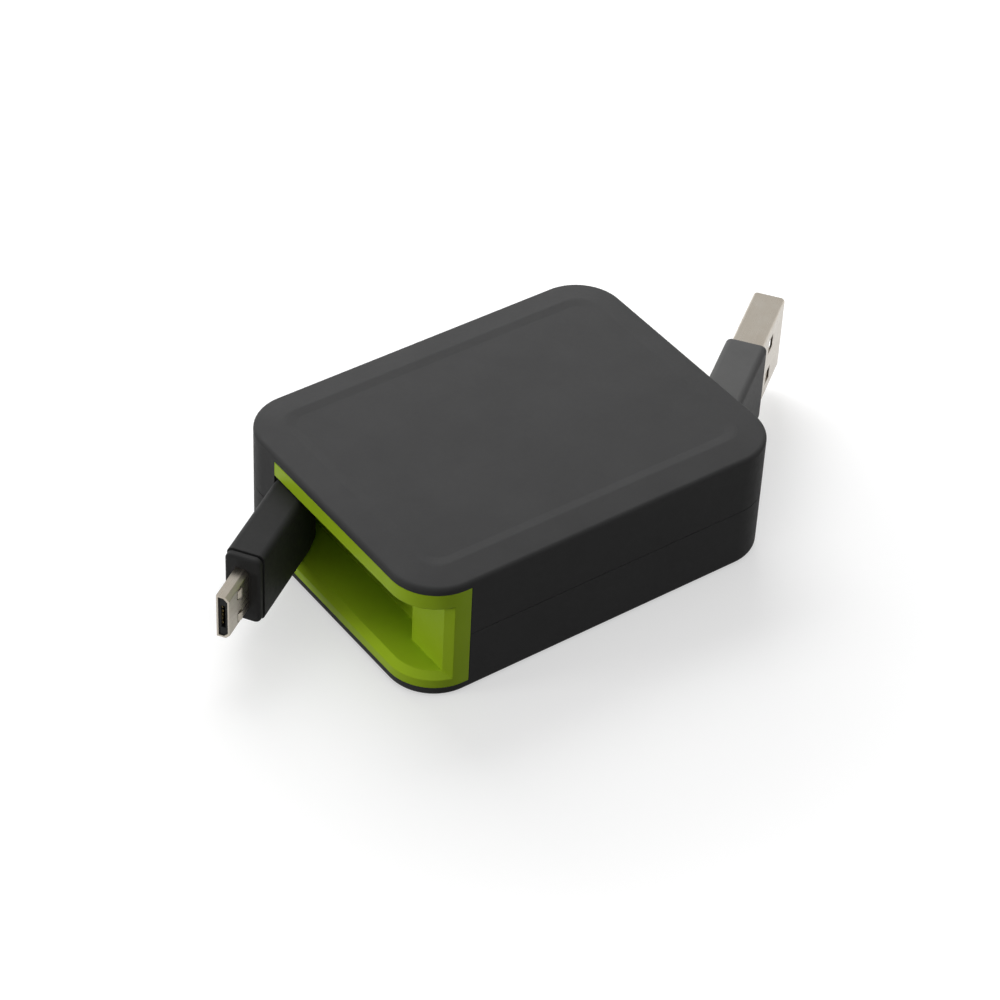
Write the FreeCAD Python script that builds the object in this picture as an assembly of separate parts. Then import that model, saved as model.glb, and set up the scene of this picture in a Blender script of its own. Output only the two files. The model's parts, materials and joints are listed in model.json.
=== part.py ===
import FreeCAD, Part
import math
import os

# Retractable charging cable, in millimetres.
# A palm-sized case holds a spring-driven spool of flat cable. Each end of the cable has a plug
# that folds sideways into a coloured dock on its end of the case. The two ends are the same
# under a half turn about the vertical axis, so both are drawn at the -X end, and the big plug's
# end is turned round. The origin is the middle of the case's bottom face, +X is along the case.

# Case
case_length = 58.0
case_width = 43.8
case_height = 18.8
corner_radius = 6.8
side_wall = 1.5
floor_wall = 1.6
roof_wall = 1.6
top_edge_round = 0.6
bottom_edge_round = 1.0
crown_drop = 0.45
panel_inset = 3.9
panel_rim_flat = 0.2
panel_slope = 1.3
panel_depth = 0.15
panel_corner = 2.0
seam_groove_width = 0.12
seam_groove_depth = 0.12
tongue_thick = 0.6
tongue_height = 1.0
tongue_gap = 0.1
tongue_end_gap = 1.0

# Docks
dock_rail = 1.15
dock_back_wall = 1.0
dock_back_gap = 0.8
dock_end_wall = 1.3
dock_seat_gap = 0.06
dock_bevel = 0.9
finger_step = 2.2
lip_offset = 1.6
pocket_clearance = 0.4
cable_slot_gap = 0.4

# Screws
screw_inset_x = 3.1
screw_inset_y = 3.1
screw_boss_radius = 2.6
lead_screw_gap = 0.92
screw_head_radius = 1.8
screw_head_height = 1.2
screw_recess = 0.5
screw_shank_radius = 1.0
screw_pilot_radius = 0.8
screw_clearance_radius = 1.15
screw_head_gap = 0.15
screw_tip_gap = 0.5
screw_length = 13.5
screw_drive_radius = 0.95
screw_drive_depth = 0.7

# Cable
cable_thick = 0.9
cable_width = 5.0
cable_edge_flat = 0.1
layer_gap = 0.04
lead_gap = 0.3

# Spool
spool_wall_gap = 0.9
spool_floor_gap = 0.4
flange_rim = 1.38
flange_side_gap = 0.35
flange_thick = 0.7
track_flange_thick = 1.8
hub_radius = 8.0
hub_gap = 0.17
hub_channel_inset = 2.6
channel_gap = 0.1
spring_cover_thick = 0.7
spring_cup_inset = 2.9
spring_cup_wall = 0.9
collar_wall = 1.65
collar_length = 1.1
collar_end_gap = 0.1

# Axle and spring
axle_radius = 1.5
axle_socket_depth = 0.8
running_gap = 0.05
arbor_radius = 2.4
arbor_boss_radius = 3.2
arbor_boss_height = 0.8
washer_thick = 0.25
thrust_gap = 0.1
spring_thick = 0.25
spring_side_gap = 0.2
spring_cup_gap = 0.1
spring_arbor_gap = 0.4
spring_tail_gap = 0.2
spring_turns = 7
spring_slot_gap = 0.06
roof_boss_radius = 3.4
roof_boss_gap = 0.25

# Latch
ball_radius = 0.9
ball_lane_gap = 0.1
island_width = 2.0
island_count = 8
gate_width = 3.0
track_depth = 1.0
ball_float = 0.05
latch_plate_gap = 0.2
latch_plate_thick = 1.4
latch_plate_width = 6.0
latch_plate_inner_margin = 1.6
latch_plate_outer_margin = 1.0
latch_post_radius = 1.2
latch_post_overhang = 0.6
track_rim = 2.6

# Plugs: the sizes that differ from end to end
micro = {
    "body_height": 10.8,
    "body_thick": 5.2,
    "body_reach": 17.3,
    "metal_height": 6.85,
    "metal_thick": 1.8,
    "metal_reach": 5.8,
    "metal_wall": 0.25,
    "metal_grip": 4.0,
    "height_room": 0.25,
    "tip_room": 0.9,
    "finger_length": 8.2,
    "open_angle": 33.2,
}
usb_a = {
    "body_height": 12.8,
    "body_thick": 5.8,
    "body_reach": 17.3,
    "metal_height": 12.0,
    "metal_thick": 4.5,
    "metal_reach": 11.75,
    "metal_wall": 0.3,
    "metal_grip": 4.0,
    "height_room": 0.3,
    "tip_room": 0.6,
    "finger_length": 2.15,
    "open_angle": 35.9,
}
neck_radius = 2.3
neck_taper = 2.0
body_edge_round = 0.9
nose_length = 0.9
nose_inset = 0.15
nose_root = 0.2
nose_groove_width = 0.25
nose_groove_depth = 0.35
nose_edge_round = 0.4
micro_chamfer = 0.55
micro_slot_height = 3.7
micro_slot_thick = 0.6
micro_slot_depth = 4.2
micro_contact_pitch = 0.65
micro_contact_width = 0.35
micro_contact_thick = 0.12
micro_contact_inset = 0.3
micro_contact_setback = 0.5
micro_core_setback = 0.15
micro_window_height = 1.5
micro_window_length = 1.2
micro_window_offset = 1.9
micro_window_place = 2.2
micro_window_depth = 0.55
micro_latch_rise = 0.25
micro_latch_gap = 0.15
micro_latch_point = 0.4
usb_a_corner = 0.6
usb_a_tongue_thick = 1.9
usb_a_tongue_setback = 0.6
usb_a_tongue_root = 1.0
usb_a_tongue_side_gap = 0.3
usb_a_core_step = 0.5
usb_a_window = 2.2
usb_a_window_offset = 2.75
usb_a_window_place = 5.2
usb_a_contact_pitch = 2.3
usb_a_contact_width = 1.0
usb_a_contact_thick = 0.2
usb_a_contact_length = 8.0
usb_a_contact_setback = 0.6
core_gap = 0.02

# Worked out from the sizes above
half_length = case_length / 2
half_width = case_width / 2
mid_height = case_height / 2
roof_under = case_height - roof_wall
dock_lip = mid_height - usb_a["body_height"] / 2 - usb_a["height_room"] - dock_rail
pocket_back = half_length - usb_a["body_thick"] - dock_back_gap
dock_inner = pocket_back - dock_back_wall
finger_back = pocket_back + finger_step
pocket_round = neck_radius + pocket_clearance
screw_x = dock_inner - screw_inset_x
screw_y = half_width - side_wall - screw_inset_y

flange_radius = min(half_width - side_wall, dock_inner) - spool_wall_gap
cable_edge_round = (cable_thick - cable_edge_flat) / 2
winding_outer = flange_radius - flange_rim
winding_inner = hub_radius + hub_gap + cable_thick / 2
winding_room = winding_outer - winding_inner
winding_turns = int(winding_room / (2 * (cable_thick + layer_gap)))
winding_pitch = winding_room / winding_turns
channel_radius = hub_radius - hub_channel_inset
bore_radius = axle_radius + running_gap
collar_radius = bore_radius + collar_wall

lower_flange_top = mid_height - cable_width / 2 - flange_side_gap
lower_flange_bottom = lower_flange_top - flange_thick
upper_flange_bottom = mid_height + cable_width / 2 + flange_side_gap
upper_flange_top = upper_flange_bottom + track_flange_thick
cover_bottom = floor_wall + spool_floor_gap
cover_top = cover_bottom + spring_cover_thick
cup_outer = flange_radius - spring_cup_inset + spring_cup_wall
cup_inner = flange_radius - spring_cup_inset
arbor_bottom = floor_wall + arbor_boss_height
arbor_top = lower_flange_bottom - thrust_gap - washer_thick
spring_bottom = cover_top + spring_side_gap
spring_top = arbor_top - spring_side_gap

lane_width = 2 * (ball_radius + ball_lane_gap)
outer_lane = flange_radius - track_rim - lane_width / 2
inner_lane = outer_lane - lane_width - island_width
latch_plate_bottom = upper_flange_top + latch_plate_gap
latch_plate_top = latch_plate_bottom + latch_plate_thick


def vec(x, y, z=0.0):
    """A point or direction."""
    return FreeCAD.Vector(x, y, z)


def box(x0, x1, y0, y1, z0, z1):
    """A block between two corners."""
    return Part.makeBox(x1 - x0, y1 - y0, z1 - z0, vec(x0, y0, z0))


def disc(radius, z0, z1, x=0.0, y=0.0):
    """A round bar on a vertical axis."""
    return Part.makeCylinder(radius, z1 - z0, vec(x, y, z0))


def ring(outer, inner, z0, z1):
    """A round bar with a round hole, about the spool's axis."""
    return disc(outer, z0, z1).cut(disc(inner, z0, z1))


def rounded_wire(half_x, half_y, radius, z):
    """A rectangle with arcs at its corners, flat at height z."""
    edges = []
    corners = [(1, 1, 0), (-1, 1, 90), (-1, -1, 180), (1, -1, 270)]
    points = []
    for sx, sy, start in corners:
        centre = vec(sx * (half_x - radius), sy * (half_y - radius), z)
        arc = []
        for turn in (start, start + 45, start + 90):
            angle = math.radians(turn)
            arc.append(centre + vec(math.cos(angle), math.sin(angle)) * radius)
        points.append(arc)
    for index, arc in enumerate(points):
        edges.append(Part.Arc(*arc).toShape())
        edges.append(Part.LineSegment(arc[2], points[(index + 1) % 4][0]).toShape())
    return Part.Wire(edges)


def outline_prism(inset, z0, z1):
    """The case's plan, drawn in by inset, between two heights."""
    wire = rounded_wire(half_length - inset, half_width - inset, corner_radius - inset, z0)
    return Part.Face(wire).extrude(vec(0, 0, z1 - z0))


def rounded_bar(height, thick, radius, start, end):
    """A bar along +X with its four long edges rounded, tall in Z."""
    wire = rounded_wire(height / 2, thick / 2, radius, 0)
    bar = Part.Face(wire).extrude(vec(0, 0, end - start))
    bar.rotate(vec(0, 0), vec(0, 1, 0), 90)
    bar.translate(vec(start, 0, 0))
    return bar


def edges_where(shape, test):
    """The edges whose middle points pass the test."""
    found = []
    for edge in shape.Edges:
        middle = edge.valueAt((edge.FirstParameter + edge.LastParameter) / 2)
        if test(edge, middle):
            found.append(edge)
    return found


def level(edge):
    """Whether an edge lies at one height."""
    return edge.BoundBox.ZLength < 1e-6


def fuse(shapes):
    """Several shapes as one, with the seams between flat faces taken out."""
    return shapes[0].fuse(shapes[1:]).removeSplitter()


def other_end(shape):
    """The shape turned half round, to the +X end of the case."""
    turned = shape.copy()
    turned.rotate(vec(0, 0), vec(0, 0, 1), 180)
    return turned


# Docks, drawn at the -X end

def opening_half(plug):
    """Half the height of a dock's opening."""
    return plug["body_height"] / 2 + plug["height_room"]


def neck_x(plug):
    """How far the neck's axis is from the middle, so that the folded plug is flush outside."""
    return half_length - plug["body_thick"] / 2


def pocket_end(plug):
    """How far along the case's end the deep part of the pocket runs."""
    return half_width - plug["finger_length"]


def neck_y(plug):
    """How far along the case's end the neck's axis is, so that the tip stops short of the end."""
    return plug["body_reach"] + plug["metal_reach"] + plug["tip_room"] - pocket_end(plug)


def lip_edge(plug):
    """Where the dock's outer face ends, a little past the neck."""
    return neck_y(plug) + lip_offset


def tub_end(plug):
    """How far the dock reaches behind the case's wall."""
    return neck_y(plug) + pocket_round + dock_end_wall


def pocket(plug):
    """The room that the plug folds into, open at the case's end and round its corner."""
    low = mid_height - opening_half(plug)
    high = mid_height + opening_half(plug)
    out = half_length + 1
    side = half_width + 1
    deep = box(-out, -pocket_back, -pocket_end(plug), lip_edge(plug), low, high)
    finger = box(-out, -finger_back, -side, lip_edge(plug), low, high)
    swing = disc(pocket_round, low, high, -neck_x(plug), neck_y(plug))
    corner = box(-neck_x(plug), -pocket_back, 0, neck_y(plug) + pocket_round, low, high)
    return fuse([deep, finger, swing, corner])


def cable_direction(plug):
    """The tangent point on the winding, and the way that the cable runs to the neck."""
    neck = vec(-neck_x(plug), neck_y(plug))
    spread = math.acos(winding_outer / neck.Length)
    angle = math.atan2(neck.y, neck.x) - spread
    tangent = vec(math.cos(angle), math.sin(angle)) * winding_outer
    return tangent, (neck - tangent).normalize()


def ribbon(plug, start, end, thick, width, edge_round):
    """A straight piece of flat cable from start to end along its line from the spool."""
    tangent, along = cable_direction(plug)
    bar = rounded_bar(width, thick, edge_round, start, end)
    bar.rotate(vec(0, 0), vec(0, 0, 1), math.degrees(math.atan2(along.y, along.x)))
    bar.translate(tangent + vec(0, 0, mid_height))
    return bar


def dock_blank(plug, grow):
    """The dock's outer form; grown a little, it is its seat in the shells."""
    low = dock_lip - grow
    high = case_height - dock_lip + grow
    out = half_length + 1
    side = half_width + 1
    inner = grow - dock_inner
    shown = outline_prism(-2 * grow, low, high)
    shown = shown.common(box(-out, inner, -side, lip_edge(plug) + grow, low, high))
    tub = outline_prism(side_wall - grow, low, high)
    tub = tub.common(box(-out, inner, 0, tub_end(plug) + grow, low, high))
    return fuse([shown, tub])


def mouth_edges(shape, plug):
    """The lower and end edges of the dock's opening that lie on the case's outer face."""
    low = mid_height - opening_half(plug)
    high = mid_height + opening_half(plug)

    def on_mouth(edge, middle):
        outside = not outline_prism(0.02, 0, case_height).isInside(middle, 1e-6, True)
        in_reach = middle.x < -pocket_back and middle.y < lip_edge(plug) - 0.05
        heights = low - 0.01 < middle.z < high - 0.01
        return outside and in_reach and heights

    return edges_where(shape, on_mouth)


def dock(plug):
    """The coloured tub that one plug folds into, with a bevel below and beside its opening."""
    shape = dock_blank(plug, 0).cut(pocket(plug))
    shape = shape.makeChamfer(dock_bevel, mouth_edges(shape, plug))
    tangent = cable_direction(plug)[0]
    reach = (vec(-neck_x(plug), neck_y(plug)) - tangent).Length
    return shape.cut(ribbon(plug, reach / 4, reach, cable_thick + 2 * cable_slot_gap,
                            cable_width + 2 * cable_slot_gap, cable_edge_round))


# Shells

def lead_screw_y(plug):
    """How far out the screw beside this plug's cable is, so that its boss clears the cable."""
    away = cable_direction(plug)[0].normalize()
    reach = winding_outer + cable_thick / 2 + lead_screw_gap + screw_boss_radius
    return (reach + screw_x * away.x) / away.y


def screw_places():
    """The four screws' places in plan."""
    return [(-screw_x, lead_screw_y(micro)), (-screw_x, -screw_y),
            (screw_x, -lead_screw_y(usb_a)), (screw_x, screw_y)]


def case_outside():
    """The whole case as one block: crowned top, rounded edges, a shallow panel in the top."""
    shoulder = case_height - crown_drop
    body = outline_prism(0, 0, shoulder)
    rim = rounded_wire(half_length, half_width, corner_radius, shoulder)
    crest = rounded_wire(half_length - panel_inset, half_width - panel_inset,
                         corner_radius - panel_inset, case_height)
    body = fuse([body, Part.makeLoft([rim, crest], True, True)])
    top_edges = edges_where(body, lambda e, m: level(e) and abs(m.z - shoulder) < 1e-4)
    body = body.makeFillet(top_edge_round, top_edges)
    bottom_edges = edges_where(body, lambda e, m: level(e) and abs(m.z) < 1e-4)
    body = body.makeFillet(bottom_edge_round, bottom_edges)
    over = panel_depth
    spread = panel_slope * over / panel_depth
    edge = panel_inset + panel_rim_flat
    mouth = rounded_wire(half_length - edge + spread, half_width - edge + spread,
                         panel_corner + panel_slope + spread, case_height + over)
    inset = edge + panel_slope
    floor = rounded_wire(half_length - inset, half_width - inset, panel_corner,
                         case_height - panel_depth)
    return body.cut(Part.makeLoft([floor, mouth], True, True))


def dock_end(plug, clear):
    """The end of the case that holds a dock, with some room round it."""
    return box(-half_length - 1, clear - dock_inner, -half_width, tub_end(plug) + clear,
               0, case_height)


def inside_room():
    """The hollow inside the shells: all but the walls and the ends that hold the docks."""
    room = outline_prism(side_wall, floor_wall, roof_under)
    return room.cut(dock_end(micro, 0)).cut(other_end(dock_end(usb_a, 0)))


def shell_blank():
    """Both shells as one hollow piece, with seats for the docks and a groove at the seam."""
    seats = [dock_blank(micro, dock_seat_gap), other_end(dock_blank(usb_a, dock_seat_gap))]
    groove = outline_prism(-1, mid_height - seam_groove_width / 2,
                           mid_height + seam_groove_width / 2)
    groove = groove.cut(outline_prism(seam_groove_depth, 0, case_height))
    blank = case_outside().cut(inside_room()).cut(groove)
    return blank.cut(seats + [pocket(micro), other_end(pocket(usb_a))])


def tongue(gap):
    """The rib that lines the shells up at the seam; with a gap, the groove it sits in."""
    outer = side_wall - tongue_thick - gap
    rib = outline_prism(outer, mid_height, mid_height + tongue_height + gap)
    rib = rib.cut(outline_prism(side_wall, 0, case_height))
    clear = tongue_end_gap - gap
    return rib.cut(dock_end(micro, clear)).cut(other_end(dock_end(usb_a, clear)))


def bottom_shell(blank):
    """The lower shell with its screw bosses and the axle's socket."""
    shape = blank.common(box(-half_length, half_length, -half_width, half_width, 0, mid_height))
    added = [tongue(0), disc(arbor_boss_radius, floor_wall / 2, arbor_bottom)]
    for x, y in screw_places():
        added.append(disc(screw_boss_radius, floor_wall / 2, mid_height, x, y))
    shape = fuse([shape] + added)
    head_room = screw_recess + screw_head_height
    for x, y in screw_places():
        shape = shape.cut(disc(screw_head_radius + screw_head_gap, 0, head_room, x, y))
        shape = shape.cut(disc(screw_clearance_radius, 0, mid_height + tongue_height, x, y))
    return shape.cut(disc(axle_radius, axle_socket_depth, arbor_bottom))


def top_shell(blank):
    """The upper shell with its screw bosses, the axle's socket and the latch's posts."""
    shape = blank.common(box(-half_length, half_length, -half_width, half_width,
                             mid_height, case_height))
    top = roof_under + roof_wall / 2
    added = [disc(roof_boss_radius, upper_flange_top + roof_boss_gap, top)]
    for x, y in screw_places():
        added.append(disc(screw_boss_radius, mid_height, top, x, y))
    for y in latch_post_places():
        added.append(disc(latch_post_radius, latch_plate_top, top, 0, y))
    shape = fuse([shape] + added).cut(tongue(tongue_gap))
    for x, y in screw_places():
        tip = screw_recess + screw_length + screw_tip_gap
        shape = shape.cut(disc(screw_pilot_radius, mid_height, tip, x, y))
    return shape.cut(disc(axle_radius, 0, roof_under + axle_socket_depth / 2))


def case_screws():
    """Four small screws, each a head with a six-sided drive and a plain shank."""
    screws = []
    top = screw_recess + screw_head_height
    for x, y in screw_places():
        head = disc(screw_head_radius, screw_recess, top, x, y)
        shank = disc(screw_shank_radius, top, screw_recess + screw_length, x, y)
        corners = []
        for step in range(7):
            angle = math.radians(60 * step)
            corners.append(vec(x + screw_drive_radius * math.cos(angle),
                               y + screw_drive_radius * math.sin(angle), screw_recess))
        drive = Part.Face(Part.makePolygon(corners)).extrude(vec(0, 0, screw_drive_depth))
        screws.append(fuse([head, shank]).cut(drive))
    return Part.makeCompound(screws)


# Axle, spring and spool

def spiral_face(outer, pitch, turns, thick, start_angle, z):
    """A flat spiral band of half circles, from outer inwards, turning clockwise."""
    shift = pitch / 4
    lines = []
    for side in (0.5, -0.5):
        edges = []
        for half in range(2 * turns):
            sign = 1 if half % 2 == 0 else -1
            radius = outer - shift - half * pitch / 2 + side * thick
            centre = vec(math.cos(start_angle), math.sin(start_angle)) * (sign * shift)
            centre.z = z
            points = []
            for step in (0, 90, 180):
                angle = start_angle - math.pi * half - math.radians(step)
                points.append(centre + vec(math.cos(angle), math.sin(angle)) * radius)
            edges.append(points)
        lines.append(edges)
    outside, inside = lines
    path = [Part.Arc(*points).toShape() for points in outside]
    path.append(Part.LineSegment(outside[-1][2], inside[-1][2]).toShape())
    path += [Part.Arc(*points[::-1]).toShape() for points in inside[::-1]]
    path.append(Part.LineSegment(inside[0][0], outside[0][0]).toShape())
    return Part.Face(Part.Wire(path))


def radial_bar(inner, outer, width, angle, z0, z1):
    """A flat bar that points away from the axis."""
    bar = box(inner, outer, -width / 2, width / 2, z0, z1)
    bar.rotate(vec(0, 0), vec(0, 0, 1), math.degrees(angle))
    return bar


def leaving_angles():
    """Where the micro plug's cable and the big plug's cable leave the winding."""
    near, far = cable_direction(micro)[0], cable_direction(usb_a)[0]
    return math.atan2(near.y, near.x), math.atan2(far.y, far.x) + math.pi


def hub_loop(gap, z0, z1):
    """The cable's middle, looped round the axle inside the hub; with a gap, its channel."""
    half_thick = cable_thick / 2 + gap
    start, end = leaving_angles()
    loop = Part.makeCylinder(channel_radius + half_thick, z1 - z0, vec(0, 0, z0), vec(0, 0, 1),
                             math.degrees(end - start))
    loop.rotate(vec(0, 0), vec(0, 0, 1), math.degrees(start))
    pieces = [loop.cut(disc(channel_radius - half_thick, z0, z1))]
    for angle in (start, end):
        pieces.append(radial_bar(channel_radius - half_thick, winding_inner + gap, 2 * half_thick,
                                 angle, z0, z1))
    return fuse(pieces)


def cable_winding():
    """Both halves of the cable wound side by side, joined through the hub."""
    low = mid_height - cable_width / 2
    high = mid_height + cable_width / 2
    arms = []
    for angle in leaving_angles():
        face = spiral_face(winding_outer, winding_pitch, winding_turns, cable_thick, angle, low)
        arms.append(face.extrude(vec(0, 0, cable_width)))
    return fuse(arms + [hub_loop(0, low, high)])


def spool_drum():
    """The spool's main moulding: spring cup below, flange, and the hub that the cable winds on."""
    cup = ring(cup_outer, cup_inner, cover_top, lower_flange_bottom)
    plate = disc(flange_radius, lower_flange_bottom, lower_flange_top)
    hub = disc(hub_radius, lower_flange_top, upper_flange_bottom)
    shape = fuse([cup, plate, hub]).cut(disc(bore_radius, 0, case_height))
    shape = shape.cut(hub_loop(channel_gap, lower_flange_top, upper_flange_bottom))
    seat = upper_flange_bottom - collar_length - collar_end_gap
    return shape.cut(disc(collar_radius, seat, upper_flange_bottom))


def latch_track():
    """Two round lanes with gates between them, and notched islands that catch the ball."""
    floor = upper_flange_top - track_depth
    top = upper_flange_top
    half_lane = lane_width / 2
    track = ring(outer_lane + half_lane, inner_lane - half_lane, floor, top)
    middle = (outer_lane + inner_lane) / 2
    island = ring(outer_lane - half_lane, inner_lane + half_lane, floor, top)
    notch_depth = island_width / 2
    for index in range(island_count):
        angle = 2 * math.pi * index / island_count - math.pi / 2
        gate = radial_bar(inner_lane, outer_lane, gate_width, angle, floor, top)
        island = island.cut(gate)
        catch = angle + gate_width / 2 / middle
        island = island.cut(disc(notch_depth / 2, floor, top, middle * math.cos(catch),
                                 middle * math.sin(catch)))
    return track.cut(island)


def spool_flange():
    """The upper flange, with a collar that sits in the hub and the latch's track on top."""
    plate = disc(flange_radius, upper_flange_bottom, upper_flange_top)
    collar = disc(collar_radius, upper_flange_bottom - collar_length, upper_flange_bottom)
    shape = fuse([plate, collar]).cut(disc(bore_radius, 0, case_height))
    return shape.cut(latch_track())


def spring_cover():
    """The thin disc that closes the spring cup from below."""
    return ring(cup_outer, arbor_boss_radius + spool_floor_gap, cover_bottom, cover_top)


def mainspring():
    """The flat spring, wound from the cup's wall in to the arbor."""
    outer = cup_inner - spring_thick / 2 - spring_cup_gap
    inner = arbor_radius + spring_thick / 2 + spring_arbor_gap
    pitch = (outer - inner) / spring_turns
    face = spiral_face(outer, pitch, spring_turns, spring_thick, 0, spring_bottom)
    band = face.extrude(vec(0, 0, spring_top - spring_bottom))
    tail = box(axle_radius + spring_tail_gap, inner, -spring_thick / 2, spring_thick / 2,
               spring_bottom, spring_top)
    return fuse([band, tail])


def spring_arbor():
    """The fixed sleeve on the axle, slit for the spring's inner end."""
    shape = ring(arbor_radius, axle_radius, arbor_bottom, arbor_top)
    half_slit = spring_thick / 2 + spring_slot_gap
    return shape.cut(box(0, arbor_radius + 1, -half_slit, half_slit, arbor_bottom, arbor_top))


def thrust_washer():
    """The thin washer between the arbor and the turning spool."""
    return ring(arbor_radius, axle_radius, arbor_top, arbor_top + washer_thick)


def axle_pin():
    """The fixed steel pin that the spool turns on."""
    return disc(axle_radius, axle_socket_depth, roof_under + axle_socket_depth / 2)


# Latch

def latch_plate_ends():
    """How far the plate reaches along its slot, as distances from the axis."""
    near = inner_lane - ball_radius - latch_plate_inner_margin
    return near, outer_lane + ball_radius + latch_plate_outer_margin


def latch_post_places():
    """Where the two posts hold the plate."""
    near, far = latch_plate_ends()
    return [-near - latch_post_overhang, -far + latch_post_overhang]


def latch_plate():
    """The fixed plate with the slot that lets the ball move only in and out."""
    near, far = latch_plate_ends()
    half = latch_plate_width / 2
    plate = box(-half, half, -far, -near, latch_plate_bottom, latch_plate_top)
    slot_half = ball_radius + ball_lane_gap
    roof = ball_height() + ball_radius + ball_lane_gap
    slot = fuse([
        box(-slot_half, slot_half, -outer_lane, -inner_lane, latch_plate_bottom, roof),
        disc(slot_half, latch_plate_bottom, roof, 0, -outer_lane),
        disc(slot_half, latch_plate_bottom, roof, 0, -inner_lane),
    ])
    return plate.cut(slot)


def ball_height():
    """The height of the ball's middle, resting in the track."""
    return upper_flange_top - track_depth + ball_radius + ball_float


def latch_ball():
    """The steel ball that runs in the track."""
    return Part.makeSphere(ball_radius, vec(0, -outer_lane, ball_height()))


# Plugs, drawn along +X from the neck's axis, then turned and placed

def place_plug(shape, plug):
    """The plug swung open at the -X end of the case."""
    placed = shape.copy()
    placed.rotate(vec(0, 0), vec(0, 0, 1), 180 + plug["open_angle"])
    placed.translate(vec(-neck_x(plug), neck_y(plug), mid_height))
    return placed


def body_plan(plug, end, inset):
    """The overmould's plan: a round neck, a short taper and straight sides."""
    half = plug["body_thick"] / 2 - inset
    neck = neck_radius - inset
    arc = Part.Arc(vec(0, neck), vec(-neck, 0), vec(0, -neck)).toShape()
    points = [vec(0, -neck), vec(neck_taper, -half), vec(end, -half), vec(end, half),
              vec(neck_taper, half), vec(0, neck)]
    lines = [Part.LineSegment(a, b).toShape() for a, b in zip(points, points[1:])]
    return Part.Wire([arc] + lines)


def overmould(plug, end):
    """The soft block round the plug's root, all edges rounded but the front's."""
    height = plug["body_height"]
    face = Part.Face(body_plan(plug, end, 0))
    face.translate(vec(0, 0, -height / 2))
    block = face.extrude(vec(0, 0, height))
    rims = edges_where(block, lambda e, m: level(e) and m.x < end - 0.01)
    block = block.makeFillet(body_edge_round, rims)
    return block


def metal_hole(plug, corner):
    """The room in the overmould that grips the metal shell."""
    end = plug["body_reach"]
    return rounded_bar(plug["metal_height"], plug["metal_thick"], corner,
                       end - plug["metal_grip"], end + 1)


def micro_overmould():
    """The small plug's overmould, with a fine groove and a nose at its front."""
    reach = micro["body_reach"]
    groove_end = reach - nose_length
    groove_start = groove_end - nose_groove_width
    body = overmould(micro, groove_start)
    height = micro["body_height"]
    thick = micro["body_thick"]
    web = rounded_bar(height - 2 * nose_groove_depth, thick - 2 * nose_groove_depth,
                      body_edge_round, groove_start - nose_root, groove_end + nose_root)
    nose = rounded_bar(height - 2 * nose_inset, thick - 2 * nose_inset, body_edge_round,
                       groove_end, reach)
    front = edges_where(nose, lambda e, m: abs(m.x - reach) < 1e-4)
    nose = nose.makeFillet(nose_edge_round, front)
    shape = fuse([body, web, nose])
    return shape.cut(micro_metal(0, reach - micro["metal_grip"], reach + 1))


def micro_metal(inset, start, end):
    """The small plug's section as a bar: two corners cut off along one wide side."""
    half_height = micro["metal_height"] / 2 - inset
    half_thick = micro["metal_thick"] / 2 - inset
    cut = micro_chamfer
    points = [vec(start, -half_thick, -half_height), vec(start, half_thick - cut, -half_height),
              vec(start, half_thick, cut - half_height), vec(start, half_thick, half_height - cut),
              vec(start, half_thick - cut, half_height), vec(start, -half_thick, half_height)]
    wire = Part.makePolygon(points + points[:1])
    return Part.Face(wire).extrude(vec(end - start, 0, 0))


def micro_window_spots():
    """The latch windows' heights on the small plug."""
    return (-micro_window_offset, micro_window_offset)


def micro_window(height, length, depth_low, depth_high, z):
    """A block at one latch window on the wide side with cut corners."""
    start = micro["body_reach"] + micro_window_place
    return box(start, start + length, depth_low, depth_high, z - height / 2, z + height / 2)


def micro_shell():
    """The small plug's metal skin, with two latch windows."""
    start = micro["body_reach"] - micro["metal_grip"]
    end = micro["body_reach"] + micro["metal_reach"]
    wall = micro["metal_wall"]
    shape = micro_metal(0, start, end).cut(micro_metal(wall, start, end))
    for z in micro_window_spots():
        shape = shape.cut(micro_window(micro_window_height, micro_window_length, 0,
                                       micro["metal_thick"], z))
    return shape


def micro_insulator():
    """The black core of the small plug, with the slot that takes the socket's tongue."""
    start = micro["body_reach"] - micro["metal_grip"]
    end = micro["body_reach"] + micro["metal_reach"]
    inset = micro["metal_wall"] + core_gap
    core = micro_metal(inset, start, end - micro_core_setback)
    half = micro_slot_height / 2
    slot_low = -micro_slot_thick / 2
    slot = box(end - micro_slot_depth, end, slot_low, slot_low + micro_slot_thick, -half, half)
    core = core.cut(slot)
    for z in micro_window_spots():
        core = core.cut(micro_window(micro_window_height, micro_window_length,
                                     micro["metal_thick"] / 2 - micro_window_depth,
                                     micro["metal_thick"], z))
    return core


def micro_contacts():
    """Five thin contacts side by side on one wall of the slot."""
    end = micro["body_reach"] + micro["metal_reach"]
    low = -micro_slot_thick / 2
    contacts = []
    for index in range(-2, 3):
        z = index * micro_contact_pitch
        half = micro_contact_width / 2
        contacts.append(box(end - micro_slot_depth + micro_contact_inset,
                            end - micro_contact_setback, low,
                            low + micro_contact_thick, z - half, z + half))
    return Part.makeCompound(contacts)


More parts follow.
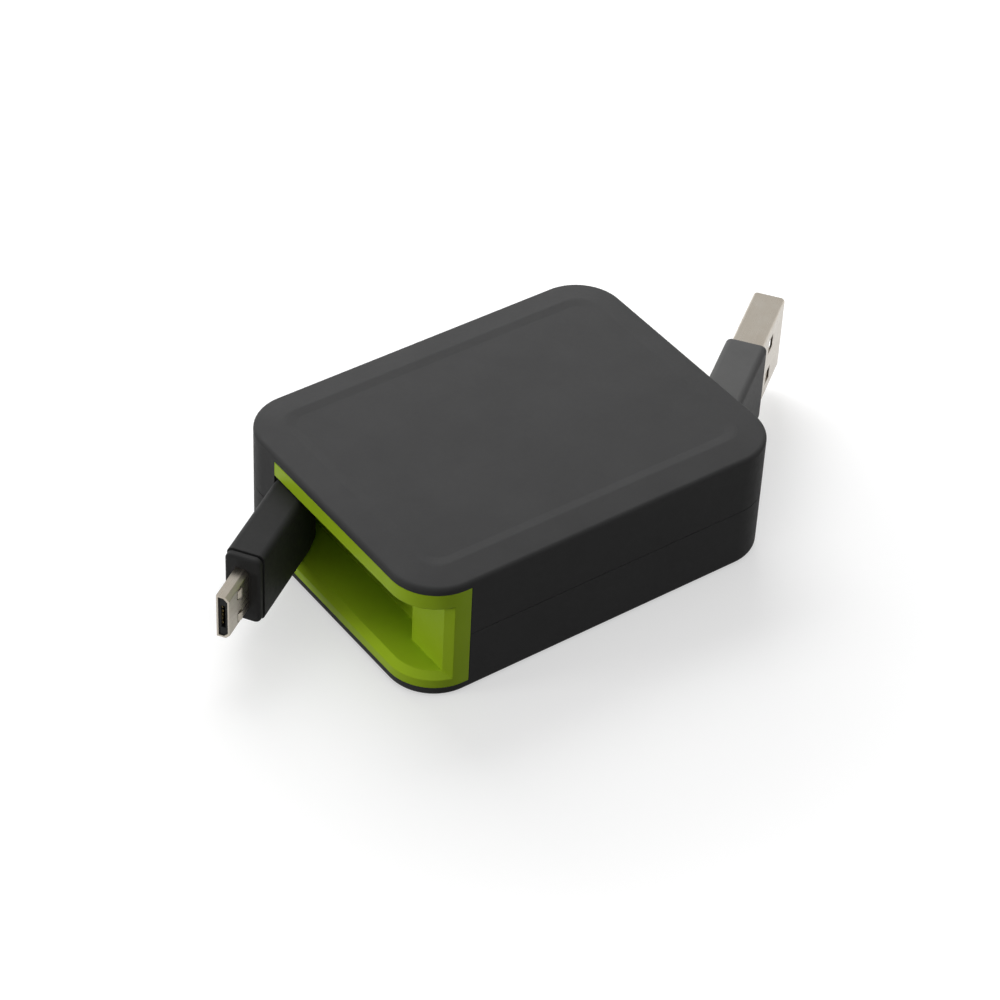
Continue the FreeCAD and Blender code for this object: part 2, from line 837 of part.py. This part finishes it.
def micro_latches():
    """Two small spring hooks that stand out of the latch windows."""
    surface = micro["metal_thick"] / 2
    root = surface - micro_window_depth
    tip = surface + micro_latch_rise
    length = micro_window_length - 2 * micro_latch_gap
    height = micro_window_height - 2 * micro_latch_gap
    start = micro["body_reach"] + micro_window_place + micro_latch_gap
    ridge = start + length * micro_latch_point
    hooks = []
    for z in micro_window_spots():
        points = [vec(start, root), vec(start + length, root), vec(start + length, surface),
                  vec(ridge, tip), vec(start, tip)]
        hook = Part.Face(Part.makePolygon(points + points[:1])).extrude(vec(0, 0, height))
        hook.translate(vec(0, 0, z - height / 2))
        hooks.append(hook)
    return Part.makeCompound(hooks)


def usb_a_overmould():
    """The big plug's overmould with a softly rounded front."""
    reach = usb_a["body_reach"]
    body = overmould(usb_a, reach)
    front = edges_where(body, lambda e, m: abs(m.x - reach) < 1e-4)
    body = body.makeFillet(nose_edge_round, front)
    return body.cut(metal_hole(usb_a, usb_a_corner))


def usb_a_window_blocks():
    """Square windows, two on each wide side."""
    place = usb_a["body_reach"] + usb_a_window_place
    half = usb_a_window / 2
    reach = usb_a["metal_thick"]
    blocks = []
    for z in (-usb_a_window_offset, usb_a_window_offset):
        blocks.append(box(place - half, place + half, -reach, reach, z - half, z + half))
    return blocks


def usb_a_shell():
    """The big plug's folded metal skin."""
    start = usb_a["body_reach"] - usb_a["metal_grip"]
    end = usb_a["body_reach"] + usb_a["metal_reach"]
    wall = usb_a["metal_wall"]
    height = usb_a["metal_height"]
    thick = usb_a["metal_thick"]
    shape = rounded_bar(height, thick, usb_a_corner, start, end)
    shape = shape.cut(rounded_bar(height - 2 * wall, thick - 2 * wall, usb_a_corner - wall,
                                  start, end))
    for block in usb_a_window_blocks():
        shape = shape.cut(block)
    return shape


def usb_a_insulator():
    """The core of the big plug: a full block at its root and a tongue along one side."""
    start = usb_a["body_reach"] - usb_a["metal_grip"]
    end = usb_a["body_reach"] + usb_a["metal_reach"]
    inset = usb_a["metal_wall"] + core_gap
    half_height = usb_a["metal_height"] / 2 - inset
    half_thick = usb_a["metal_thick"] / 2 - inset
    root = rounded_bar(2 * half_height, 2 * half_thick, usb_a_corner - usb_a["metal_wall"],
                       start, usb_a["body_reach"] + usb_a_core_step)
    tongue_low = half_thick - usb_a_tongue_thick
    tongue_half = half_height - usb_a_tongue_side_gap
    tongue_bar = box(start + usb_a_tongue_root, end - usb_a_tongue_setback, tongue_low,
                     half_thick, -tongue_half, tongue_half)
    return fuse([root, tongue_bar])


def usb_a_contacts():
    """Four flat contacts on the tongue."""
    end = usb_a["body_reach"] + usb_a["metal_reach"] - usb_a_tongue_setback
    end -= usb_a_contact_setback
    inset = usb_a["metal_wall"] + core_gap
    top = usb_a["metal_thick"] / 2 - inset - usb_a_tongue_thick
    contacts = []
    for index in range(4):
        z = (index - 1.5) * usb_a_contact_pitch
        half = usb_a_contact_width / 2
        contacts.append(box(end - usb_a_contact_length, end, top - usb_a_contact_thick, top,
                            z - half, z + half))
    return Part.makeCompound(contacts)


def lead(plug):
    """The piece of flat cable between the winding and the plug's neck."""
    tangent = cable_direction(plug)[0]
    neck = vec(-neck_x(plug), neck_y(plug))
    end = (neck - tangent).Length - neck_radius - lead_gap
    return ribbon(plug, lead_gap, end, cable_thick, cable_width, cable_edge_round)


def main():
    """Makes every piece and writes each one to its own file."""
    blank = shell_blank()
    pieces = {
        "top_shell": top_shell(blank),
        "bottom_shell": bottom_shell(blank),
        "micro_dock": dock(micro),
        "usb_a_dock": other_end(dock(usb_a)),
        "case_screws": case_screws(),
        "axle_pin": axle_pin(),
        "spring_arbor": spring_arbor(),
        "thrust_washer": thrust_washer(),
        "latch_plate": latch_plate(),
        "latch_ball": latch_ball(),
        "spool_drum": spool_drum(),
        "spool_flange": spool_flange(),
        "spring_cover": spring_cover(),
        "mainspring": mainspring(),
        "cable_winding": cable_winding(),
        "micro_cable_lead": lead(micro),
        "usb_a_cable_lead": other_end(lead(usb_a)),
    }
    for make in (micro_overmould, micro_shell, micro_insulator, micro_contacts, micro_latches):
        pieces[make.__name__] = place_plug(make(), micro)
    for make in (usb_a_overmould, usb_a_shell, usb_a_insulator, usb_a_contacts):
        pieces[make.__name__] = other_end(place_plug(make(), usb_a))
    os.makedirs("parts", exist_ok=True)
    for name, shape in pieces.items():
        print(name, "valid", shape.isValid(), "solids", len(shape.Solids),
              "volume", round(shape.Volume, 2))
        shape.exportStep("parts/" + name + ".step")


main()
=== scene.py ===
import json
import math

import bmesh
import bpy
from mathutils import Matrix, Vector

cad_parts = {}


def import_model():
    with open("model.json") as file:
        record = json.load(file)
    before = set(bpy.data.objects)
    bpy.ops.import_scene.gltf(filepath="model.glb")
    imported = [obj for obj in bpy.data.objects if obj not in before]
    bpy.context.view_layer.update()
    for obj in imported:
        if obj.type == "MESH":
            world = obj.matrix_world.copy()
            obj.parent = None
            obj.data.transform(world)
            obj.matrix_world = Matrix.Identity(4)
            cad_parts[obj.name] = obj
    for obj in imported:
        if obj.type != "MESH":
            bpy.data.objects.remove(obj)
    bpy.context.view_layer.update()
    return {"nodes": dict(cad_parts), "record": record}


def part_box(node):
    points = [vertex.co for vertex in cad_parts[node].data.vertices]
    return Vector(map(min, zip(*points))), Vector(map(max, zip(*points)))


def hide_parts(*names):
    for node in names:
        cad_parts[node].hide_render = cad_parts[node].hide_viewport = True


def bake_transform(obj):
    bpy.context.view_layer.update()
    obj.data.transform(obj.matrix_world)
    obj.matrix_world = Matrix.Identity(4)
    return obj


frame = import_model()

# A palm-sized retractable charging cable on a white floor, in metres.
# The case, docks, spool and plugs are the frame's own solids with materials made here. The two
# stretches of flat cable between the spool and the plugs are made here too, because they
# lengthen as a plug is pulled.

MM = 0.001

# The two ends of the cable, by the first part of their nodes' and joints' names
SIDES = ("micro", "usb_a")

# Camera, solved from the case's edges in the photograph; its lens and sensor are in millimetres
CAMERA_AZIMUTH = math.radians(-37.25)
CAMERA_ELEVATION = math.radians(40.58)
CAMERA_ROLL = math.radians(2.94)
CAMERA_DISTANCE = 0.4481
CAMERA_TARGET = Vector((0.0034, 0.0060, 0.0))
CAMERA_LENS = 118.6
CAMERA_SENSOR = 36.0
CAMERA_CLIP_START = 0.01

# Floor: its colour where it is seen and for the light that it throws back, and its own glow,
# which rises from FLOOR_GLOW near the object to plain white further out; the lower glow near
# the object is a painted pool of shade, in which the lamps' real shadow shows
FLOOR_SIZE = 3.0
FLOOR_DROP = 0.05 * MM
FLOOR_COLOR = (0.55, 0.55, 0.55)
FLOOR_BOUNCE = (0.04, 0.04, 0.04)
FLOOR_GLOW = 0.50
PAINTED_SHADE_START = 50 * MM
PAINTED_SHADE_END = 140 * MM

# Surround: its colour, its strength straight overhead, and how fast that falls to the horizon
SKY_COLOR = (1.0, 1.0, 1.0)
SKY_LEVEL = 0.8
SKY_POWER = 2.0

# Lamps: name, place, size and power; each faces the origin
LAMPS = (
    ("back", (0.052, 0.165, 0.151), 0.20, 0.60),
    ("side", (-0.50, 0.17, 0.10), 0.14, 0.95),
    ("front", (0.05, -0.45, 0.35), 0.40, 0.35),
)

# Noise: the middle of its range, which is stretched to drive colour and roughness. All scales of
# noise are per metre, and a SPREAD is how far roughness goes below and above its mean.
NOISE_LOW = 0.3
NOISE_HIGH = 0.7

# Edges that are drawn round: how many rays look for the surfaces beside them
BEVEL_SAMPLES = 6

# Moulded surfaces: blotches of colour, a fine grain, and an uneven gloss that goes with a coarser
# bump, whose depth is a share of the grain's
BLOTCH_SCALE = 140.0
GRAIN_SCALE = 9000.0
COARSE_SCALE = 1500.0
COARSE_SHARE = 1.2
MOULDED_SPREAD = (0.04, 0.04)

# Sheet metal: drawn lines, scaled along and across them, with soft clouds and rounded folds
DRAWN_SCALE = (160.0, 5200.0, 5200.0)
DRAWN_DEPTH = 0.002 * MM
SHEET_CLOUD_SCALE = 420.0
SHEET_TINT = (0.93, 0.90, 0.87)
SHEET_SPREAD = (0.06, 0.08)
SHEET_EDGE = 0.08 * MM

# Turned metal: faint clouds
TURNED_CLOUD_SCALE = 900.0
TURNED_TINT = (0.88, 0.88, 0.88)
TURNED_DEPTH = 0.003 * MM
TURNED_SPREAD = (0.05, 0.06)

# Cable jacket: drawn lines, scaled along and across them, with soft clouds
JACKET_SCALE = (120.0, 3600.0, 3600.0)
JACKET_DEPTH = 0.01 * MM
JACKET_CLOUD_SCALE = 300.0
JACKET_DARK = (0.022, 0.022, 0.023)
JACKET_LIGHT = (0.034, 0.034, 0.035)
JACKET_ROUGH = (0.46, 0.6)

# Flat cable: its thickness, and two distances from the axis of the plug's neck: to the end of the
# frame's own lead, and to the end of the cable made here, which is inside the plug
CABLE_THICK = 0.9 * MM
LEAD_END = 2.6 * MM
CABLE_END = 1.2 * MM

# Mesh of the flat cable: steps round each of its two edges, and its rings as shares of its length
CABLE_ROUND_STEPS = 6
CABLE_RINGS = (0.0, 0.25, 0.5, 0.75, 1.0)

# Sockets of the Mix node that colours use, by number because several have one name
MIX_FACTOR = 0
MIX_FIRST = 6
MIX_SECOND = 7
MIX_RESULT = 2


# Nodes

def new_tree(name):
    """A new material, and its node tree with nothing in it."""
    material = bpy.data.materials.new(name)
    material.use_nodes = True
    tree = material.node_tree
    tree.nodes.clear()
    return material, tree


def add(tree, kind, settings=None, inputs=None):
    """A node with its settings and its inputs' values; an input given a socket is linked."""
    node = tree.nodes.new("ShaderNode" + kind)
    for key, value in (settings or {}).items():
        setattr(node, key, value)
    for key, value in (inputs or {}).items():
        socket = node.inputs[key]
        if isinstance(value, bpy.types.NodeSocket):
            tree.links.new(value, socket)
        else:
            socket.default_value = value
    return node


def rgba(color):
    """A colour with full alpha."""
    return (color[0], color[1], color[2], 1.0)


def tinted(color, tint):
    """A colour multiplied by a tint."""
    return tuple(part * share for part, share in zip(color, tint))


def place(tree, scale=(1, 1, 1), turn=0.0):
    """The object's own coordinates, turned about the vertical axis and then scaled."""
    where = add(tree, "TexCoord")
    turned = add(tree, "VectorRotate", {"rotation_type": "Z_AXIS"},
                 {"Vector": where.outputs["Object"], "Angle": turn})
    scaled = add(tree, "VectorMath", {"operation": "MULTIPLY"}, {0: turned.outputs[0], 1: scale})
    return scaled.outputs[0]


def noise(tree, where, scale=1.0, detail=3.0, rough=0.5):
    """A soft noise from 0 to 1; a place that is scaled already needs no scale."""
    node = add(tree, "TexNoise", inputs={"Vector": where, "Scale": scale, "Detail": detail,
                                         "Roughness": rough})
    return node.outputs["Fac"]


def stretch(tree, value, low, high):
    """The middle of a noise's range, stretched to go from low to high."""
    node = add(tree, "MapRange", inputs={"Value": value, "From Min": NOISE_LOW,
                                         "From Max": NOISE_HIGH, "To Min": low, "To Max": high})
    return node.outputs["Result"]


def uneven(tree, value, rough, spread):
    """A roughness that follows a noise, from a spread below its mean to one above it."""
    return stretch(tree, value, rough - spread[0], rough + spread[1])


def blend_colors(tree, factor, first, second):
    """Two colours mixed by a factor."""
    node = add(tree, "Mix", {"data_type": "RGBA"},
               {MIX_FACTOR: factor, MIX_FIRST: rgba(first), MIX_SECOND: rgba(second)})
    return node.outputs[MIX_RESULT]


def math_node(tree, operation, first, second):
    """The result of one operation on two values."""
    return add(tree, "Math", {"operation": operation}, {0: first, 1: second}).outputs[0]


def bump(tree, height, depth, normal=None):
    """A bump of a real depth in metres from a height from 0 to 1."""
    inputs = {"Height": height, "Distance": depth, "Strength": 1.0}
    if normal is not None:
        inputs["Normal"] = normal
    return add(tree, "Bump", inputs=inputs).outputs["Normal"]


def rounded_normal(tree, radius):
    """A normal that softens sharp edges, as a moulding's edges are."""
    return add(tree, "Bevel", {"samples": BEVEL_SAMPLES}, {"Radius": radius}).outputs["Normal"]


def finish_surface(material, tree, inputs):
    """The surface shader and the output."""
    shader = add(tree, "BsdfPrincipled", inputs=inputs)
    add(tree, "OutputMaterial", inputs={"Surface": shader.outputs["BSDF"]})
    return material


def seen(tree):
    """1 for rays that show a thing, straight, in a reflection or through glass, and 0 for others."""
    path = add(tree, "LightPath")
    direct = math_node(tree, "MAXIMUM", path.outputs["Is Camera Ray"],
                       path.outputs["Is Glossy Ray"])
    return math_node(tree, "MAXIMUM", direct, path.outputs["Is Transmission Ray"])


# Materials

def moulded(name, dark, light, rough, grain, edge, specular=0.5):
    """Moulded plastic or rubber: blotchy colour, uneven gloss and a fine surface grain."""
    material, tree = new_tree(name)
    where = place(tree)
    blotches = noise(tree, where, BLOTCH_SCALE, detail=4.0, rough=0.6)
    fine = noise(tree, where, GRAIN_SCALE, detail=2.0)
    coarse = noise(tree, where, COARSE_SCALE)
    normal = bump(tree, fine, grain, rounded_normal(tree, edge))
    return finish_surface(material, tree, {
        "Base Color": blend_colors(tree, stretch(tree, blotches, 0, 1), dark, light),
        "Roughness": uneven(tree, coarse, rough, MOULDED_SPREAD),
        "Normal": bump(tree, coarse, grain * COARSE_SHARE, normal),
        "Specular IOR Level": specular})


def sheet_metal(name, color, rough, turn):
    """Plated sheet metal with fine drawn lines along one direction."""
    material, tree = new_tree(name)
    lines = noise(tree, place(tree, DRAWN_SCALE, turn), detail=4.0, rough=0.65)
    cloud = noise(tree, place(tree), SHEET_CLOUD_SCALE)
    return finish_surface(material, tree, {
        "Base Color": blend_colors(tree, stretch(tree, cloud, 0, 1), color,
                                   tinted(color, SHEET_TINT)),
        "Metallic": 1.0,
        "Roughness": uneven(tree, lines, rough, SHEET_SPREAD),
        "Normal": bump(tree, lines, DRAWN_DEPTH, rounded_normal(tree, SHEET_EDGE))})


def turned_metal(name, color, rough):
    """Plain ground steel or gold plate with faint clouding."""
    material, tree = new_tree(name)
    cloud = noise(tree, place(tree), TURNED_CLOUD_SCALE, detail=4.0, rough=0.6)
    return finish_surface(material, tree, {
        "Base Color": blend_colors(tree, stretch(tree, cloud, 0, 1), color,
                                   tinted(color, TURNED_TINT)),
        "Metallic": 1.0,
        "Roughness": uneven(tree, cloud, rough, TURNED_SPREAD),
        "Normal": bump(tree, cloud, TURNED_DEPTH)})


def cable_jacket(name, turn):
    """The flat cable's matt jacket, with faint lines along it."""
    material, tree = new_tree(name)
    lines = noise(tree, place(tree, JACKET_SCALE, turn))
    cloud = noise(tree, place(tree), JACKET_CLOUD_SCALE)
    return finish_surface(material, tree, {
        "Base Color": blend_colors(tree, stretch(tree, cloud, 0, 1), JACKET_DARK, JACKET_LIGHT),
        "Roughness": stretch(tree, lines, *JACKET_ROUGH),
        "Normal": bump(tree, lines, JACKET_DEPTH)})


# Places and directions, read from the frame

def joint_row(joint_name):
    """The record's row for a joint, with its place and axis."""
    for joint in frame["record"]["behaviour"]["joints"]:
        if joint["name"] == joint_name:
            return joint
    raise KeyError(joint_name)


def neck_place(side):
    """The neck, where a plug bends on its cable."""
    return Vector(joint_row(side + "_swing")["pos_m"])


def cable_direction(side):
    """The way that a cable leaves the case."""
    return Vector(joint_row(side + "_pull")["axis"])


def plug_direction(side):
    """The way from the neck to the plug's metal shell."""
    low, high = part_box(side + "_shell")
    return (Vector(low) + Vector(high)) / 2 - neck_place(side)


def turn_onto(direction):
    """The turn about the vertical axis that brings a direction onto X."""
    return -math.atan2(direction.y, direction.x)


# Finishes

MOULDED = {
    "shell_black": {
        "dark": (0.051, 0.051, 0.0513), "light": (0.056, 0.056, 0.0563), "rough": 0.62,
        "grain": 0.010 * MM, "edge": 0.12 * MM, "specular": 0.05},
    "dock_green": {
        "dark": (0.36, 0.53, 0.017), "light": (0.39, 0.57, 0.020), "rough": 0.45,
        "grain": 0.004 * MM, "edge": 0.15 * MM, "specular": 0.15},
    "overmould_black": {
        "dark": (0.023, 0.023, 0.023), "light": (0.027, 0.027, 0.027), "rough": 0.55,
        "grain": 0.008 * MM, "edge": 0.15 * MM, "specular": 0.1},
    "overmould_charcoal": {
        "dark": (0.088, 0.088, 0.088), "light": (0.098, 0.098, 0.098), "rough": 0.6,
        "grain": 0.008 * MM, "edge": 0.15 * MM, "specular": 0.1},
    "spool_plastic": {
        "dark": (0.70, 0.70, 0.67), "light": (0.78, 0.78, 0.75), "rough": 0.4,
        "grain": 0.004 * MM, "edge": 0.1 * MM},
    "washer_plastic": {
        "dark": (0.82, 0.82, 0.80), "light": (0.88, 0.88, 0.86), "rough": 0.4,
        "grain": 0.003 * MM, "edge": 0.03 * MM},
    "insulator_black": {
        "dark": (0.012, 0.012, 0.012), "light": (0.018, 0.018, 0.018), "rough": 0.5,
        "grain": 0.003 * MM, "edge": 0.05 * MM, "specular": 0.15},
}

PLATING = {"color": (0.46, 0.425, 0.37), "rough": 0.30}

SHEET_METAL = {
    "micro_metal": {**PLATING, "turn": turn_onto(plug_direction("micro"))},
    "usb_a_metal": {**PLATING, "turn": turn_onto(plug_direction("usb_a"))},
    "cover_steel": {"color": (0.55, 0.55, 0.56), "rough": 0.35, "turn": 0.0},
}

TURNED_METAL = {
    "spring_steel": {"color": (0.42, 0.43, 0.46), "rough": 0.3},
    "axle_steel": {"color": (0.62, 0.62, 0.63), "rough": 0.25},
    "screw_steel": {"color": (0.20, 0.20, 0.205), "rough": 0.35},
    "contact_gold": {"color": (0.80, 0.60, 0.26), "rough": 0.22},
}

CABLE_JACKETS = {
    "cable_winding": {"turn": 0.0},
    "micro_cable": {"turn": turn_onto(cable_direction("micro"))},
    "usb_a_cable": {"turn": turn_onto(cable_direction("usb_a"))},
}

# Nodes with a finish of their own; any other has the one that is named after its slot
OWN_FINISH = {
    "micro_shell": "micro_metal",
    "micro_latches": "micro_metal",
    "usb_a_shell": "usb_a_metal",
    "cable_winding": "cable_winding",
    "micro_cable_lead": "micro_cable",
    "usb_a_cable_lead": "usb_a_cable",
}


def make_materials():
    """Every material, by the name of its finish."""
    materials = {}
    for make, rows in ((moulded, MOULDED), (sheet_metal, SHEET_METAL),
                       (turned_metal, TURNED_METAL), (cable_jacket, CABLE_JACKETS)):
        for name, values in rows.items():
            materials[name] = make(name, **values)
    return materials


def dress_nodes(materials):
    """Gives every CAD node its material."""
    for part in frame["record"]["subparts"]:
        node = part["node"]
        mesh = frame["nodes"][node].data
        mesh.materials.clear()
        mesh.materials.append(materials[OWN_FINISH.get(node, part["material_slot"])])


# Flat cable

def cable_section(sideways, width):
    """The outline of a flat cable that stands on edge, its two edges round, about its middle."""
    radius = CABLE_THICK / 2
    outline = []
    for sign in (1, -1):
        for step in range(CABLE_ROUND_STEPS + 1):
            angle = math.pi * step / CABLE_ROUND_STEPS
            across = radius * math.cos(angle) * sign
            up = sign * (width / 2 - radius + radius * math.sin(angle))
            outline.append(sideways * across + Vector((0, 0, up)))
    return outline


def flat_cable(name, start, end, width, material):
    """A straight flat cable from start to end, closed at both ends."""
    along = (end - start).normalized()
    length = (end - start).length
    section = cable_section(Vector((-along.y, along.x, 0.0)), width)
    count = len(section)
    grid = bmesh.new()
    rings = []
    for share in CABLE_RINGS:
        middle = start + along * (length * share)
        rings.append([grid.verts.new(middle + offset) for offset in section])
    for low, high in zip(rings, rings[1:]):
        for index in range(count):
            after = (index + 1) % count
            grid.faces.new((low[index], low[after], high[after], high[index]))
    grid.faces.new(rings[0][::-1])
    grid.faces.new(rings[-1])
    bmesh.ops.recalc_face_normals(grid, faces=grid.faces)
    for face in grid.faces:
        face.smooth = len(face.verts) == 4
    mesh = bpy.data.meshes.new(name)
    grid.to_mesh(mesh)
    grid.free()
    mesh.materials.append(material)
    piece = bpy.data.objects.new(name, mesh)
    bpy.context.scene.collection.objects.link(piece)
    return piece


def cable_pieces(materials):
    """The two stretches of flat cable: one end stays in the case and the other is pulled out."""
    for side in SIDES:
        node = side + "_cable_lead"
        neck = neck_place(side)
        along = cable_direction(side)
        low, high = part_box(node)
        width = high[2] - low[2]
        run = abs((high[0] - low[0]) / along.x)
        far = neck - along * (LEAD_END + run)
        cable = flat_cable(side + "_flat_cable", far, neck - along * CABLE_END, width,
                           materials[side + "_cable"])
        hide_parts(node)
        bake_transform(cable)


# Studio

def floor():
    """A white floor with a painted pool of shade near the object, where its glow is lower and the
    object's real shadow shows, and plain white further out.
    """
    bpy.ops.mesh.primitive_plane_add(size=FLOOR_SIZE, location=(0, 0, -FLOOR_DROP))
    plane = bpy.context.object
    plane.name = "floor"
    material, tree = new_tree("floor")
    is_seen = seen(tree)
    diffuse = add(tree, "BsdfDiffuse",
                  inputs={"Color": blend_colors(tree, is_seen, FLOOR_BOUNCE, FLOOR_COLOR)})
    where = add(tree, "TexCoord")
    reach = add(tree, "VectorMath", {"operation": "LENGTH"}, {0: where.outputs["Object"]})
    # Painted shade: the floor's glow is lowered near the object, a pool of shade in which the real
    # shadow shows
    painted_shade = add(tree, "MapRange", {"interpolation_type": "SMOOTHSTEP"},
                {"Value": reach.outputs["Value"], "From Min": PAINTED_SHADE_START, "From Max": PAINTED_SHADE_END,
                 "To Min": FLOOR_GLOW, "To Max": 1.0})
    glow = math_node(tree, "MULTIPLY", is_seen, painted_shade.outputs["Result"])
    light = add(tree, "Emission", inputs={"Strength": glow})
    both = add(tree, "AddShader", inputs={0: diffuse.outputs[0], 1: light.outputs[0]})
    add(tree, "OutputMaterial", inputs={"Surface": both.outputs[0]})
    plane.data.materials.append(material)


def world():
    """A soft surround, brightest overhead and dark at the horizon, and plain white where seen."""
    surround = bpy.data.worlds.new("surround")
    bpy.context.scene.world = surround
    surround.use_nodes = True
    tree = surround.node_tree
    tree.nodes.clear()
    where = add(tree, "TexCoord")
    parts = add(tree, "SeparateXYZ", inputs={0: where.outputs["Generated"]})
    height = math_node(tree, "MAXIMUM", parts.outputs["Z"], 0.0)
    shape = math_node(tree, "POWER", height, SKY_POWER)
    level = math_node(tree, "MULTIPLY", shape, SKY_LEVEL)
    strength = add(tree, "MapRange", inputs={"Value": seen(tree), "To Min": level, "To Max": 1.0})
    background = add(tree, "Background", inputs={"Color": rgba(SKY_COLOR),
                                                 "Strength": strength.outputs["Result"]})
    add(tree, "OutputWorld", inputs={"Surface": background.outputs[0]})


def area_lamp(name, place_at, size, power):
    """A square soft lamp that faces the origin, seen neither straight nor in a reflection."""
    lamp = bpy.data.lights.new(name, "AREA")
    lamp.shape = "SQUARE"
    lamp.size = size
    lamp.energy = power
    holder = bpy.data.objects.new(name, lamp)
    bpy.context.scene.collection.objects.link(holder)
    holder.location = place_at
    aim = -Vector(place_at)
    holder.rotation_euler = aim.to_track_quat("-Z", "Y").to_euler()
    holder.visible_camera = False
    holder.visible_glossy = False


def camera():
    """The photograph's camera."""
    data = bpy.data.cameras.new("camera")
    data.lens = CAMERA_LENS
    data.sensor_width = CAMERA_SENSOR
    data.clip_start = CAMERA_CLIP_START
    holder = bpy.data.objects.new("camera", data)
    bpy.context.scene.collection.objects.link(holder)
    flat = math.cos(CAMERA_ELEVATION)
    back = Vector((math.sin(CAMERA_AZIMUTH) * flat, -math.cos(CAMERA_AZIMUTH) * flat,
                   math.sin(CAMERA_ELEVATION)))
    right = (-back).cross(Vector((0, 0, 1))).normalized()
    up = right.cross(-back)
    rolled_right = right * math.cos(CAMERA_ROLL) + up * math.sin(CAMERA_ROLL)
    rolled_up = up * math.cos(CAMERA_ROLL) - right * math.sin(CAMERA_ROLL)
    turn = Matrix((rolled_right, rolled_up, back)).transposed()
    holder.matrix_world = Matrix.Translation(CAMERA_TARGET + back * CAMERA_DISTANCE) @ turn.to_4x4()
    bpy.context.scene.camera = holder


def studio():
    """Floor, surround, lamps and camera."""
    floor()
    world()
    for name, place_at, size, power in LAMPS:
        area_lamp(name, place_at, size, power)
    camera()
    bpy.context.scene.view_settings.view_transform = "Standard"


finishes = make_materials()
dress_nodes(finishes)
cable_pieces(finishes)
studio()
